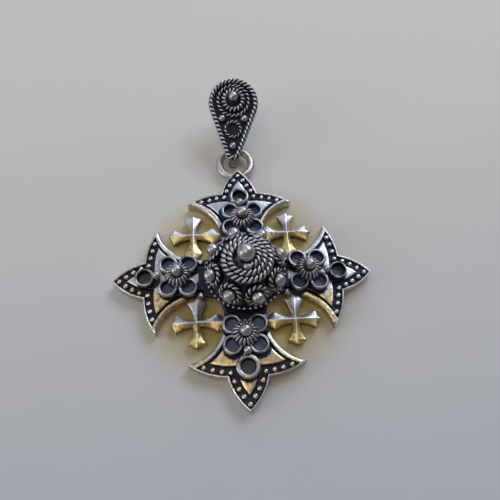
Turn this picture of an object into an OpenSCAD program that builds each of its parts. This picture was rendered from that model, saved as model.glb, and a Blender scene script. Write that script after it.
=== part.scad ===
// A filigree cross pendant with four small crosses and a teardrop bail, lying on its back.
// The origin is the middle of the cross on its back face, +Y points to the bail and +Z up.

/* [Cross] */
// Distance from the middle of the cross to the tip of an arm
tip_reach = 19; // [18.5:0.25:19.5]
// Half the spread of an arm's two outer corners
corner_x = 8.15; // [7.6:0.05:8.4]
// Distance from the middle of the cross to the line of the outer corners
corner_y = 12.58; // [12.3:0.02:12.9]
// Half the spread of the two notches beside the tip
notch_x = 2.82; // [2.6:0.02:3]
// Distance from the middle of the cross to the notches
notch_y = 14.49; // [14.3:0.01:14.7]
// Thickness of the plate, over its rims
plate_t = 1.8; // [1.7:0.05:1.9]
// Depth of the sunk borders
sink = 0.55; // [0.4:0.05:0.7]
// Diameter of a granule in the borders
granule_d = 0.76; // [0.6:0.02:0.8]

/* [Crosslets] */
// Distance from a crosslet's middle to the point of an outer arm
crosslet_reach = 3.65; // [3.5:0.05:3.75]
// Width of a crosslet's arms at their shoulders
crosslet_foot_w = 2.7; // [2.4:0.1:3]
// Thickness of a crosslet at the ridge of its arms
crosslet_h = 1.35; // [1.2:0.05:1.5]
// Height of the crosslets' backs over the plate's back face
crosslet_z = 0.45; // [0.3:0.05:0.5]

/* [Arm flowers] */
// Distance from the middle of the cross to the middle of a flower
flower_y = 9.24; // [9.2:0.02:9.3]
// Outer diameter of the four cups of a flower
cup_d = 2.8; // [2.6:0.05:2.9]
// Inner diameter of the cups
cup_bore = 1.95; // [1.7:0.05:2]
// Height of the cups
cup_h = 1.2; // [1:0.05:1.3]
// Diameter of the ribbed dome
rib_dome_d = 3.9; // [3.6:0.1:4]
// Number of ribs on the dome
rib_count = 18; // [14:1:20]
// Diameter of the ball on the dome
flower_ball_d = 1.8; // [1.6:0.05:1.85]
// Mean outer diameter of the rings near the tips of the arms
tip_ring_d = 2.96; // [2.9:0.02:3]
// Bore of those rings
tip_ring_bore = 2.05; // [1.8:0.05:2.1]

/* [Middle dome] */
// Diameter of the dish under the cone
dish_d = 11.2; // [11:0.1:11.4]
// Height of the dish's edge above the back face
dish_z = 3.75; // [3.6:0.05:3.9]
// Diameter of the beaded wire's section
beaded_d = 0.5; // [0.4:0.05:0.55]
// Outer diameter of a petal loop
petal_loop_d = 3.45; // [3.2:0.05:3.5]
// Diameter of the petal loops' wire
petal_wire_d = 0.75; // [0.6:0.05:0.75]
// Diameter of the ball in a petal loop
petal_ball_d = 1.85; // [1.6:0.05:1.9]
// Turn of the first petal from the east arm, in degrees
petal_turn = 16; // [12:1:20]
// Diameter of the twisted rope wound on the cone
coil_rope_d = 0.95; // [0.9:0.01:0.96]
// Diameter of the crown ball
crown_ball_d = 2.5; // [2.3:0.05:2.55]

/* [Loop and bail] */
// Outer diameter of the hanging loop
loop_d = 6.45; // [6.3:0.05:6.5]
// Diameter of the loop's wire
loop_wire = 1.2; // [1:0.05:1.2]
// Length of the teardrop plate
bail_len = 13.5; // [13.4:0.05:13.6]
// Largest width of the teardrop, over its rope rim
bail_w = 8.1; // [8.05:0.05:8.2]
// Tilt of the teardrop plate against the back face, in degrees
bail_tilt = 25; // [24:0.5:26]
// Diameter of the twisted rope round the teardrop
bail_rope_d = 0.84; // [0.75:0.01:0.84]
// How far the bail has slid to the west on the loop
bail_shift = 0.56; // [0.5:0.02:0.56]
// Turn of the bail on the loop, in degrees
bail_turn = 3; // [0:0.5:4]
// Width of the bail's back strap
strap_w = 1.4; // [1.2:0.1:1.6]
// Thickness of the strap
strap_t = 0.4; // [0.35:0.05:0.4]

/* [Bail ornaments] */
// Outer diameter of the large wire ring
large_ring_d = 5.6; // [5.5:0.02:5.6]
// Outer diameter of the coiled ring inside it
coiled_ring_d = 4.05; // [3.8:0.05:4.05]
// Outer diameter of the small ring
small_ring_d = 3.1; // [2.9:0.05:3.15]
// Diameter of the ball in the coiled ring
bail_ball_d = 1.6; // [1.4:0.05:1.65]
// Diameter of the pair of beads
pair_bead_d = 1.2; // [1:0.05:1.25]
// Diameter of the bead near the tip
low_bead_d = 1.2; // [1:0.05:1.25]

/* [Hidden] */
$fn = 48;
gap = 0.02;
arms = ["east", "north", "west", "south"];
corners = ["ne", "nw", "sw", "se"];
petals = 8;
tip = [0, tip_reach];
corner = [corner_x, corner_y];
notch = [notch_x, notch_y];

// The concave side of an arm is an arc, and so is the same side of its neighbour.
side_centre = [9.5, 6.2];
side_r = norm(side_centre - corner);
inner_corner_xy = (side_centre.x + side_centre.y
    - sqrt(2 * side_r * side_r - pow(side_centre.x - side_centre.y, 2))) / 2;
side_rim = 0.75;
side_groove = 0.32;
edge_rim = 0.28;
border_w = 1.5;
border_start = 5.9;
corner_swell = 0.42;
tip_swell = 0.45;
border_z = plate_t - sink;
border_bend = [2.32, 13.85];
border_end = [5.95, 13.05];
granule_tip = [0, tip_reach - 1.05];

// Middles of the crosslets, in the order of their corners
crosslet_at = [[7.05, 7.15], [-7.3, 7.15], [-6.85, -6.65], [7.05, -6.75]];
crosslet_root_reach = 4.9;
crosslet_shoulder = crosslet_reach - 0.7;
crosslet_waist = 0.5;
crosslet_edge_h = 0.95;
crosslet_steps = 6;

// Flowers, rings and beads were soldered on by eye, so each arm has its own places.
arm_places = [
    // flower further out, flower aside, ring's distance, ring wider by, bead past the ring's edge
    [0.22, -0.3, 13.86, -0.3, 0.42],
    [-0.04, 0.3, 13.25, 0.1, 0.12],
    [0.16, 0.12, 14.21, -0.15, 0.42],
    [-0.34, 0.15, 13.32, 0.4, 0.32]
];
cup_x = 1.8;
cup_y = cup_d / 2 + 2 * gap;
cup_z = plate_t + gap;
cup_top = cup_z + cup_h;
chamfer = 0.09;
rib_dome_z = cup_top + gap;
rib_dome_h = 1.15;
rib_depth = 0.15;
rib_points = 4;
pocket_floor = 0.75;
flower_ball_z = rib_dome_z + pocket_floor + flower_ball_d / 2;
tip_ring_h = 1.15;
tip_ring_top = plate_t + gap + tip_ring_h;
tip_bead_d = 1.2;

dome_at = [0.25, -0.05];
drum_d = 8.8;
dish_under = dish_z - 0.5;
beaded_r = dish_d / 2 + 0.03;
cone_foot = [(dish_d - beaded_d) / 2, dish_z];
cone_waist = [3.28, 7.3];
cone_top = [1.1, 8.55];
slope = cone_waist - cone_foot;
slope_len = norm(slope);
slope_out = [slope.y, -slope.x] / slope_len;
petal_mid = (cone_foot + cone_waist) / 2;
petal_lean = atan2(-slope.x, slope.y);
petal_loop_off = petal_wire_d / 2 + gap;
petal_ball_off = petal_ball_d / 2 + gap;
crown_z = cone_top.y + 0.52 * crown_ball_d;

top_slope = cone_top - cone_waist;
top_out = [top_slope.y, -top_slope.x] / norm(top_slope);
coil_outer = cone_waist + (coil_rope_d / 2 + gap) * top_out;
coil_pitch = coil_rope_d * abs(top_slope.x) / norm(top_slope);
coil_inner_r = 1.52;
rope_sides = 8;
rings_per_lay = 8;
rope_lay = 1.4;
lobes = [1, 0.9, 0.62, 0.9, 1, 0.9, 0.62, 0.9];

loop_at = [-0.3, tip_reach + 1.5, 1.25];
loop_r = (loop_d - loop_wire) / 2;
bail_tip = [loop_at.y, 2];
hinge_y = loop_at.y + loop_r;
sheet_t = 0.5;
bail_foot_r = 1.25;
bail_head_s = bail_len - bail_w / 2;
bend_r = 1;
head_bend_r = 1.5;
head_bend_y = bail_tip.x + 9.6;
top_bend_s = bail_len - 2.1;
rim_path_r = bail_w / 2 - bail_rope_d / 2;
rim_foot_r = bail_foot_r - bail_rope_d / 2;
rim_span = bail_head_s - bail_foot_r;
rim_lean = asin((rim_path_r - rim_foot_r) / rim_span);
rim_straight = rim_span * cos(rim_lean);
rim_head_arc = (180 + 2 * rim_lean) * PI / 180 * rim_path_r;
rim_foot_arc = (180 - 2 * rim_lean) * PI / 180 * rim_foot_r;
rim_length = 2 * rim_straight + rim_head_arc + rim_foot_arc;
ornament_z = sheet_t + gap;
large_ring_s = 9.8;
coiled_ring_s = 9.9;
bail_ball_s = 10.2;
coil_seat_h = 0.45;
large_ring_wire = 0.62;
coiled_ring_wire = 0.95;
small_ring_wire = 0.55;
small_ring_s = 5.1;
pair_bead_at = [1.8, 6.8];
low_bead_s = 2.35;

// Points on an arc from p to q that rises to the left of the way there
function arc_between(p, q, rise, steps) =
    let (chord = norm(q - p),
         r = (chord * chord / 4 + rise * rise) / (2 * abs(rise)),
         left = [p.y - q.y, q.x - p.x] / chord,
         centre = (p + q) / 2 - sign(rise) * (r - abs(rise)) * left,
         start = atan2(p.y - centre.y, p.x - centre.x),
         sweep = -sign(rise) * 2 * asin(chord / 2 / r))
    [for (i = [0:steps]) centre + r * [cos(start + sweep * i / steps), sin(start + sweep * i / steps)]];

function mirrored(points) = [for (i = [len(points) - 1:-1:0]) [-points[i].x, points[i].y]];

// Faces of a skin over rings of points, with flat ends or closed on itself
function skin_faces(rings, sides, closed = false) = concat(
    [for (i = [0:rings - (closed ? 1 : 2)], k = [0:sides - 1])
        let (a = i * sides, b = ((i + 1) % rings) * sides, n = (k + 1) % sides)
        each [[a + k, b + n, a + n], [a + k, b + k, b + n]]],
    closed ? [] : [[for (k = [0:sides - 1]) k], [for (k = [sides - 1:-1:0]) (rings - 1) * sides + k]]
);

// One ring of a two-strand rope's section at p, turned about the way it runs
function rope_ring(p, way, up, d, turn) =
    let (side = cross(way, up), high = cross(side, way))
    [for (k = [0:rope_sides - 1])
        let (a = turn - 360 * k / rope_sides)
        p + d / 2 * lobes[k] * (cos(a) * side + sin(a) * high)];

side_points = arc_between([inner_corner_xy, inner_corner_xy], corner,
    side_r - sqrt(side_r * side_r - pow(norm(corner - [inner_corner_xy, inner_corner_xy]) / 2, 2)), 12);
corner_points = arc_between(corner, notch, -corner_swell, 5);
tip_points = arc_between(notch, tip, -tip_swell, 5);
zigzag_half = concat(corner_points, [for (i = [1:5]) tip_points[i]]);
granule_row = concat(
    arc_between(granule_tip, border_bend, 0.22, 4),
    [for (i = [1:3]) border_bend + (border_end - border_bend) * i / 3 + [0, i == 3 ? 0 : 0.06]]
);

module arm_outline() {
    polygon(concat(side_points, [for (i = [1:len(zigzag_half) - 1]) zigzag_half[i]],
        [for (i = [1:len(zigzag_half) - 1]) mirrored(zigzag_half)[i]],
        [for (i = [1:len(side_points) - 1]) mirrored(side_points)[i]], [[0, 0]]));
}

// The arm's zigzag end, widened past its corners so that only the end is inset
module zigzag_area(inset) {
    far_x = 14;
    far_y = corner_y - (far_x - corner_x) * (notch_y - corner_y) / (corner_x - notch_x);
    offset(delta = -inset)
        polygon(concat([[far_x, -2], [far_x, far_y]], zigzag_half,
            [for (i = [1:len(zigzag_half) - 1]) mirrored(zigzag_half)[i]],
            [[-far_x, far_y], [-far_x, -2]]));
}

module beyond_sides(band) {
    for (s = [1, -1]) translate([s * side_centre.x, side_centre.y]) circle(side_r + band, $fn = 96);
}

module border_area() {
    difference() {
        intersection() {
            zigzag_area(edge_rim);
            translate([-9, border_start]) square([18, 14]);
        }
        beyond_sides(side_rim);
        panel_area();
    }
}

module panel_area() {
    difference() {
        zigzag_area(border_w);
        beyond_sides(side_rim + side_groove);
    }
}

module cross_plate() color("darkgoldenrod") {
    difference() {
        linear_extrude(plate_t) for (a = [0:90:270]) rotate(a) arm_outline();
        for (a = [0:90:270]) rotate(a) translate([0, 0, border_z]) linear_extrude(sink + 1) border_area();
    }
    for (a = [0:90:270], i = [0:len(granule_row) - 1], s = i == 0 ? [1] : [1, -1])
        rotate(a) translate([s * granule_row[i].x, granule_row[i].y, border_z + 0.3 * granule_d])
            sphere(d = granule_d, $fn = 24);
}

module hanging_loop() color("silver") {
    difference() {
        translate(loop_at) rotate_extrude($fn = 72) translate([loop_r, 0]) circle(d = loop_wire);
        linear_extrude(2 * plate_t) offset(delta = gap) arm_outline();
    }
}

function crosslet_section(y, w) = [for (p = [[w, 0], [-w, 0], [-w, crosslet_edge_h],
    [0, crosslet_h], [w, crosslet_edge_h]]) [p.x, y, p.y]];

// A ridged arm that flares from its waist to its shoulders and tapers to a point from there
module crosslet_arm(reach) {
    flare_len = crosslet_shoulder - crosslet_waist;
    stations = concat(
        [crosslet_section(0, crosslet_waist)],
        [for (i = [0:crosslet_steps])
            crosslet_section(crosslet_waist + flare_len * i / crosslet_steps,
                crosslet_waist + (crosslet_foot_w / 2 - crosslet_waist) * pow(i / crosslet_steps, 2))],
        [crosslet_section(reach, 0.02)]
    );
    polyhedron([for (s = stations) each s], skin_faces(len(stations), 5));
}

// The plate's arms beside a crosslet have the same turns as the crosslet's own outer arms. Its other
// two arms taper longer and end flush on the plate.
module crosslet(corner_number) color("goldenrod") {
    turns = [corner_number, (corner_number + 3) % 4];
    difference() {
        translate([crosslet_at[corner_number].x, crosslet_at[corner_number].y, crosslet_z])
            for (i = [0:3]) rotate(90 * i)
                crosslet_arm(len(search(i, turns)) > 0 ? crosslet_reach : crosslet_root_reach);
        for (i = turns) rotate(90 * i)
            linear_extrude(2 * plate_t) offset(delta = gap) arm_outline();
    }
}

module ring_wall(d, bore, h) {
    rotate_extrude()
        polygon([[bore / 2, 0], [d / 2, 0], [d / 2, h - chamfer], [d / 2 - chamfer, h],
                 [bore / 2 + chamfer, h], [bore / 2, h - chamfer]]);
}

module on_arm(number, y, x = 0) rotate(90 * number - 90) translate([x, y, 0]) children();

module on_flower(number) on_arm(number, flower_y + arm_places[number][0], arm_places[number][1])
    children();

function ring_y(number) = arm_places[number][2];
function ring_d(number) = tip_ring_d + arm_places[number][3];

module cups(number) color("dimgray") on_flower(number) translate([0, 0, cup_z]) {
    for (x = [-cup_x, cup_x], y = [-cup_y, cup_y]) translate([x, y, 0]) ring_wall(cup_d, cup_bore, cup_h);
    cylinder(h = 0.3, r = cup_x);
    cylinder(h = cup_h, d = 1);
}

// A dome whose ribs run from its foot to its brim, with a pocket for the ball
module rib_dome(number) color("silver") on_flower(number) {
    // share of the radius, share of the height
    levels = [[1, 0], [0.98, 0.16], [0.86, 0.52], [0.66, 0.86], [0.46, 1], [0.3, 0.72], [0.1, 0.56]];
    count = rib_count * rib_points;
    points = [for (l = levels, k = [0:count - 1])
        let (a = -360 * k / count,
             r = rib_dome_d / 2 * l[0] - rib_depth * min(1, 2 * l[0]) * (1 - cos(rib_count * a)) / 2)
        [r * cos(a), r * sin(a), rib_dome_z + rib_dome_h * l[1]]];
    polyhedron(points, skin_faces(len(levels), count));
}

module flower_ball(number) color("silver") on_flower(number)
    translate([0, 0, flower_ball_z]) sphere(d = flower_ball_d);

// The bead leans on the ring's edge, a little outside it
module tip_bead(number) color("silver") {
    off = arm_places[number][4];
    rise = sqrt(pow(tip_bead_d / 2 + gap, 2) - off * off);
    on_arm(number, ring_y(number) - ring_d(number) / 2 - off)
        translate([0, 0, tip_ring_top + rise]) sphere(d = tip_bead_d);
}

module tip_ring(number) color("gray") on_arm(number, ring_y(number))
    translate([0, 0, plate_t + gap]) ring_wall(ring_d(number), tip_ring_bore, tip_ring_h);

module on_dome(z = 0) translate([dome_at.x, dome_at.y, z]) children();

module dome() color("dimgray") {
    on_dome() rotate_extrude($fn = 96)
        polygon([[0, plate_t + gap], [drum_d / 2, plate_t + gap], [drum_d / 2, dish_under],
                 [cone_foot.x, dish_under], cone_foot, cone_waist, cone_top, [0, cone_top.y]]);
}

module beaded_wire() color("silver")
    on_dome(dish_z) rotate_extrude($fn = 96) translate([beaded_r, 0]) circle(d = beaded_d);

module on_petal(i, off) on_dome() rotate(petal_turn + 360 / petals * (i - 1))
    translate([petal_mid.x + off * slope_out.x, 0, petal_mid.y + off * slope_out.y])
        rotate([0, 90 - petal_lean, 0]) children();

module petal_loop(i) color("dimgray") on_petal(i, petal_loop_off)
    rotate_extrude() translate([(petal_loop_d - petal_wire_d) / 2, 0]) circle(d = petal_wire_d);

module petal_ball(i) color("silver") on_petal(i, petal_ball_off) sphere(d = petal_ball_d);

module rope_coil() color("darkgray") {
    length = PI * (coil_outer.x * coil_outer.x - coil_inner_r * coil_inner_r) / coil_pitch;
    rings = floor(length / rope_lay * rings_per_lay);
    points = [for (i = [0:rings])
        let (r = sqrt(coil_outer.x * coil_outer.x - coil_pitch / PI * length * i / rings),
             a = 270 + 360 * (r - coil_inner_r) / coil_pitch,
             z = coil_outer.y + (coil_outer.x - r) * top_slope.y / -top_slope.x)
        each rope_ring([r * cos(a), r * sin(a), z], [sin(a), -cos(a), 0], [0, 0, 1], coil_rope_d,
            360 * i / rings_per_lay)];
    on_dome() polyhedron(points, skin_faces(rings + 1, rope_sides));
}

module crown_ball() color("silver") on_dome(crown_z) sphere(d = crown_ball_d);

// Places things on the teardrop: y runs from its tip to its head, z off its back
module on_bail() turned() translate([0, bail_tip.x, bail_tip.y]) rotate([bail_tilt, 0, 0]) children();

// The bail stands a little aside and askew on the loop
module turned() translate([-bail_shift, hinge_y, 0]) rotate(-bail_turn)
    translate([0, -hinge_y, 0]) children();

module teardrop(inset) hull() {
    translate([0, bail_foot_r]) circle(bail_foot_r - inset);
    translate([0, bail_head_s]) circle(bail_w / 2 - inset, $fn = 96);
}

// A point on the plate's back, at a distance from the tip, with a ball of radius r below it
function under_plate(s, r) = bail_tip + s * [cos(bail_tilt), sin(bail_tilt)]
    + r * [sin(bail_tilt), -cos(bail_tilt)];

// How far along the plate a ball of radius r touches the plate and the strap on the floor
function wedge_s(r) = (strap_t + r - bail_tip.y + r * cos(bail_tilt)) / sin(bail_tilt);

// The strap's inner form seen from the side
module strap_inside(grow) hull() {
    translate(under_plate(wedge_s(bend_r), bend_r)) circle(bend_r + grow);
    translate([head_bend_y, strap_t + head_bend_r]) circle(head_bend_r + grow);
    translate(under_plate(top_bend_s, bend_r)) circle(bend_r + grow);
}

module bail() color("dimgray") {
    on_bail() linear_extrude(sheet_t) teardrop(0);
    difference() {
        turned() translate([-strap_w / 2, 0, 0]) rotate([90, 0, 90]) linear_extrude(strap_w)
            difference() {
                strap_inside(strap_t);
                strap_inside(0);
            }
        on_bail() translate([-5, -2, sheet_t / 2]) cube([10, 20, 3]);
    }
}

// A point on the rim's middle line at a distance d from where its left straight starts
function rim_point(d) =
    d < rim_straight ? let (s = d) rim_side(-1, s)
    : d < rim_straight + rim_head_arc ?
        let (a = 180 + rim_lean - (d - rim_straight) / rim_path_r * 180 / PI)
        [rim_path_r * cos(a), bail_head_s + rim_path_r * sin(a)]
    : d < 2 * rim_straight + rim_head_arc ? rim_side(1, 2 * rim_straight + rim_head_arc - d)
    : let (a = -rim_lean - (d - 2 * rim_straight - rim_head_arc) / rim_foot_r * 180 / PI)
        [rim_foot_r * cos(a), bail_foot_r + rim_foot_r * sin(a)];

function rim_side(side, s) = [side * (rim_foot_r * cos(rim_lean) + s * sin(rim_lean)),
    bail_foot_r - rim_foot_r * sin(rim_lean) + s * cos(rim_lean)];

module bail_rope_rim() color("silver") on_bail() translate([0, 0, ornament_z + bail_rope_d / 2]) {
    rings = round(rim_length / rope_lay) * rings_per_lay;
    step = rim_length / rings;
    points = [for (i = [0:rings - 1])
        let (p = rim_point(i * step), q = rim_point(((i + 0.1) % rings) * step), way = (q - p) / norm(q - p))
        each rope_ring([p.x, p.y, 0], [way.x, way.y, 0], [0, 0, 1], bail_rope_d, 360 * i / rings_per_lay)];
    polyhedron(points, skin_faces(rings, rope_sides, true));
}

module bail_ring(s, d, wire) on_bail() translate([0, s, ornament_z + wire / 2])
    rotate_extrude() translate([(d - wire) / 2, 0]) circle(d = wire);

module bail_bead(x, s, d, lift = 0) color("silver")
    on_bail() translate([x, s, ornament_z + lift + d / 2]) sphere(d = d);

// The coiled ring has a raised floor that carries the ball
module bail_ring_coiled() color("gray") {
    bail_ring(coiled_ring_s, coiled_ring_d, coiled_ring_wire);
    on_bail() translate([0, coiled_ring_s, ornament_z])
        cylinder(h = coil_seat_h, d = coiled_ring_d - coiled_ring_wire);
}

cross_plate();
hanging_loop();
for (i = [0:3]) crosslet(i);
for (i = [0:3]) cups(i);
for (i = [0:3]) rib_dome(i);
for (i = [0:3]) flower_ball(i);
for (i = [0:3]) tip_bead(i);
for (i = [0:3]) tip_ring(i);
dome();
beaded_wire();
for (i = [1:petals]) petal_loop(i);
for (i = [1:petals]) petal_ball(i);
rope_coil();
crown_ball();
bail();
bail_rope_rim();
color("silver") bail_ring(large_ring_s, large_ring_d, large_ring_wire);  // bail_ring_large
bail_ring_coiled();
color("silver") bail_ring(small_ring_s, small_ring_d, small_ring_wire);  // bail_ring_small
bail_bead(0, bail_ball_s, bail_ball_d, coil_seat_h + gap);  // bail_ball
bail_bead(-pair_bead_at.x, pair_bead_at.y, pair_bead_d);  // bail_bead_left
bail_bead(pair_bead_at.x, pair_bead_at.y, pair_bead_d);  // bail_bead_right
bail_bead(0, low_bead_s, low_bead_d);  // bail_bead_low
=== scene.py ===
"""Looks of the cross pendant: cast plate, gilt crosslets, twisted wires, cups, domes and balls.

The pendant's sizes are in millimetres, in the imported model's own frame, and become metres when a mesh is
made. Lights and floor are in metres.
"""

import math

import bpy
import numpy as np
from mathutils import Matrix, Vector, noise
from mathutils.geometry import delaunay_2d_cdt


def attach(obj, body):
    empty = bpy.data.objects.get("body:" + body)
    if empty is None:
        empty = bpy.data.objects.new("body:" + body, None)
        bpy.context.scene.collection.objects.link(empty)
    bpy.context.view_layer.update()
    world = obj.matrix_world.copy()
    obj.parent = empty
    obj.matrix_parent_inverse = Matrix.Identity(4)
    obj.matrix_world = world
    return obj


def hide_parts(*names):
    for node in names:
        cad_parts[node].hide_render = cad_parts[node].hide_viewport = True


MM = 0.001
QUARTERS = (0, 90, 180, 270)

# Wires, the gap between soldered pieces, and the least radius at an axis
TUBE_SIDES = 8
LAY_STEPS = 12
ROPE_LAY = 1.4
GAP = 0.02
AXIS_R = 0.001

# Cross plate
TIP_REACH = 19.0
CORNER = np.array((8.15, 12.58))
NOTCH = np.array((2.82, 14.49))
TIP = np.array((0.0, TIP_REACH))
SIDE_CENTRE = np.array((9.5, 6.2))
SIDE_R = math.dist(SIDE_CENTRE, CORNER)
CORNER_SWELL = 0.42
TIP_SWELL = 0.45
PLATE_T = 1.8
SINK = 0.55
STEP_W = 0.09
EDGE_ROUND = 0.1
SIDE_RIM = 0.75
RIM_CREST = 0.62 * SIDE_RIM
RIM_OUTER_FALL = 0.26
RIM_INNER_FALL = 0.07
SIDE_GROOVE = 0.32
EDGE_RIM = 0.28
BORDER_W = 1.5
BORDER_START = 5.9
CUSHION_W = 0.3
CUSHION_H = 0.07
GRANULE_D = 0.76

# Crosslets
CROSSLET_AT = {"ne": (7.05, 7.15), "nw": (-7.3, 7.15), "sw": (-6.85, -6.65), "se": (7.05, -6.75)}
CROSSLET_Z = 0.45
CROSSLET_REACH = 3.65
CROSSLET_ROOT_REACH = 4.9
CROSSLET_SHOULDER = 2.95
CROSSLET_WAIST = 0.5
CROSSLET_FOOT = 1.35
CROSSLET_EDGE_H = 0.95
CROSSLET_RIDGE_H = 1.35

# Arm flowers
CUP_D = 2.8
CUP_BORE = 1.95
CUP_H = 1.2
CUP_LIP_H = 0.2
CUP_X = 1.8
CUP_Y = 1.44
CUP_Z = 1.82
RIB_COUNT = 18
RIB_DOME_Z = 3.04
FLOWER_BALL_D = 1.8
FLOWER_BALL_Z = 4.69
TIP_RING_BORE = 2.05
TIP_RING_H = 1.15
TIP_RING_LIP_H = 0.22
TIP_BEAD_D = 1.2
# Each arm's own places: flower outwards and aside, ring outwards, its diameter, bead inwards of its edge
ARM_PLACES = {
    "east": (9.46, -0.3, 13.86, 2.66, 0.42),
    "north": (9.2, 0.3, 13.25, 3.06, 0.12),
    "west": (9.4, 0.12, 14.21, 2.81, 0.42),
    "south": (8.9, 0.15, 13.32, 3.36, 0.32),
}

# Middle dome
DOME_X, DOME_Y = 0.25, -0.05
DISH_Z = 3.75
BEADED_R = 5.63
BEAD_COUNT = 46
BEAD_R = 0.25
BEAD_WIRE_R = 0.13
CONE_FOOT = np.array((5.35, DISH_Z))
CONE_WAIST = np.array((3.28, 7.3))
CONE_TOP = np.array((1.1, 8.55))
PETALS = 8
PETAL_TURN = 16
PETAL_LOOP_D = 3.45
PETAL_WIRE_D = 0.75
PETAL_BALL_D = 1.85
PETAL_LAYS = 6
COIL_ROPE_D = 0.95
COIL_INNER_R = 1.52
CROWN_BALL_D = 2.5
CROWN_Z = 9.85

# Loop and bail
LOOP_AT = (-0.3, 20.5, 1.25)
LOOP_D = 6.45
LOOP_WIRE = 1.2
LOOP_START = -65
LOOP_SWEEP = 323
BAIL_SHIFT = 0.56
BAIL_TURN = 3
HINGE_Y = LOOP_AT[1] + (LOOP_D - LOOP_WIRE) / 2
BAIL_TIP = np.array((20.5, 2.0))
BAIL_TILT = math.radians(25)
BAIL_LEN = 13.5
BAIL_W = 8.1
BAIL_FOOT_R = 1.25
BAIL_HEAD_S = BAIL_LEN - BAIL_W / 2
BAIL_ROPE_D = 0.84
SHEET_T = 0.5
STRAP_W = 1.4
STRAP_T = 0.4
STRAP_BEND_R = 1.0
STRAP_HEAD_BEND_R = 1.5
STRAP_HEAD_BEND_Y = BAIL_TIP[0] + 9.6
STRAP_END_S = BAIL_LEN - 2.1
LARGE_RING_D = 5.6
LARGE_RING_WIRE = 0.62
LARGE_RING_S = 9.8
COILED_RING_D = 4.05
COILED_RING_WIRE = 0.95
COILED_RING_S = 9.9
COIL_WIRE_R = 0.185
COIL_TURNS = 17
COIL_SEAT_H = 0.45
SMALL_RING_D = 3.1
SMALL_RING_WIRE = 0.55
SMALL_RING_S = 5.1
BAIL_BALL_D = 1.6
BAIL_BALL_S = 10.2
PAIR_BEAD_D = 1.2
PAIR_BEAD_AT = (1.8, 6.8)
LOW_BEAD_D = 1.2
LOW_BEAD_S = 2.35

rng = np.random.default_rng(11)


def smooth(value, low, high):
    """0 below low, 1 above high, and a smooth rise between."""
    t = np.clip((value - low) / (high - low), 0, 1)
    return t * t * (3 - 2 * t)


def turned(points, degrees):
    """Points turned about Z; extra columns stay."""
    c, s = math.cos(math.radians(degrees)), math.sin(math.radians(degrees))
    out = np.array(points, float)
    out[:, 0], out[:, 1] = c * out[:, 0] - s * out[:, 1], s * out[:, 0] + c * out[:, 1]
    return out


def waves(points, size, seed=0):
    """Smooth noise from -1 to 1 at each point, with lumps of a size in millimetres."""
    return np.array([noise.noise(Vector(p) / size + Vector((seed, 0, 0))) for p in points])


def new_seed():
    """A random place in the noise."""
    return rng.uniform(0, 99)


class Shape:
    """Vertices and faces of one piece, with how dark each vertex is, from patina and painted shade, and how
    gilt, the gold in places a painted warm reflection.
    """

    def __init__(self):
        self.points = np.zeros((0, 3))
        self.faces = []
        self.patina_and_shade = np.zeros(0)
        self.gilt_and_reflection = np.zeros(0)

    def add(self, points, faces, patina_and_shade=0.0, gilt_and_reflection=0.0):
        start = len(self.points)
        points = np.asarray(points, float)
        self.points = np.vstack((self.points, points))
        self.faces += [tuple(start + i for i in face) for face in faces]
        self.patina_and_shade = np.append(self.patina_and_shade, np.broadcast_to(patina_and_shade, len(points)))
        self.gilt_and_reflection = np.append(self.gilt_and_reflection, np.broadcast_to(gilt_and_reflection, len(points)))
        return self

    def join(self, other):
        return self.add(other.points, other.faces, other.patina_and_shade, other.gilt_and_reflection)

    def placed(self, matrix):
        """A copy moved by a 4 by 4 matrix in millimetres."""
        m = np.array(matrix)
        return Shape().add(self.points @ m[:3, :3].T + m[:3, 3], self.faces, self.patina_and_shade, self.gilt_and_reflection)

    def welded(self):
        """A copy in which points that coincide are one and unused ones are gone."""
        finest = 0.0005
        keys = np.round(self.points / finest).astype(int)
        _, first, where = np.unique(keys, axis=0, return_index=True, return_inverse=True)
        where = where.ravel()
        faces = [tuple(dict.fromkeys(where[list(face)])) for face in self.faces]
        faces = [face for face in faces if len(face) > 2]
        used = np.unique([i for face in faces for i in face])
        place = np.zeros(len(first), int)
        place[used] = np.arange(len(used))
        faces = [tuple(int(place[i]) for i in face) for face in faces]
        kept = first[used]
        return Shape().add(self.points[kept], faces, self.patina_and_shade[kept], self.gilt_and_reflection[kept])


def grid_faces(rows, columns, wrap_rows=False, wrap_columns=True):
    """Quads over a grid of points stored row by row."""
    faces = []
    for i in range(rows if wrap_rows else rows - 1):
        row, next_row = i * columns, (i + 1) % rows * columns
        for k in range(columns if wrap_columns else columns - 1):
            after = (k + 1) % columns
            faces.append((row + k, row + after, next_row + after, next_row + k))
    return faces


def flipped(faces):
    return [face[::-1] for face in faces]


def grid_points(xs, ys):
    x, y = np.meshgrid(xs, ys)
    return np.column_stack((x.ravel(), y.ravel()))


def lifted(flat, z):
    """Flat points at a height."""
    return np.column_stack((flat, np.full(len(flat), z)))


def lathe(profile, sides, start=0.0, sweep=360.0):
    """A surface round Z through (radius, height) rows; a sweep under 360 leaves flat ends."""
    full = sweep >= 360
    count = sides if full else sides + 1
    rows = [
        (r * math.cos(a), r * math.sin(a), z)
        for r, z in profile
        for a in (math.radians(start + sweep * k / sides) for k in range(count))
    ]
    faces = grid_faces(len(profile), count, wrap_columns=full)
    if not full:
        faces.append(tuple(i * count for i in range(len(profile))))
        faces.append(tuple((len(profile) - i) * count - 1 for i in range(len(profile))))
    return np.array(rows), faces


def frames(path, ups, closed):
    """Directions to the side and up along a path."""
    if closed:
        way = np.roll(path, -1, 0) - np.roll(path, 1, 0)
    else:
        way = np.gradient(path, axis=0)
    way /= np.linalg.norm(way, axis=1)[:, None]
    side = np.cross(way, np.broadcast_to(ups, path.shape))
    side /= np.linalg.norm(side, axis=1)[:, None]
    return side, np.cross(side, way)


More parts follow.
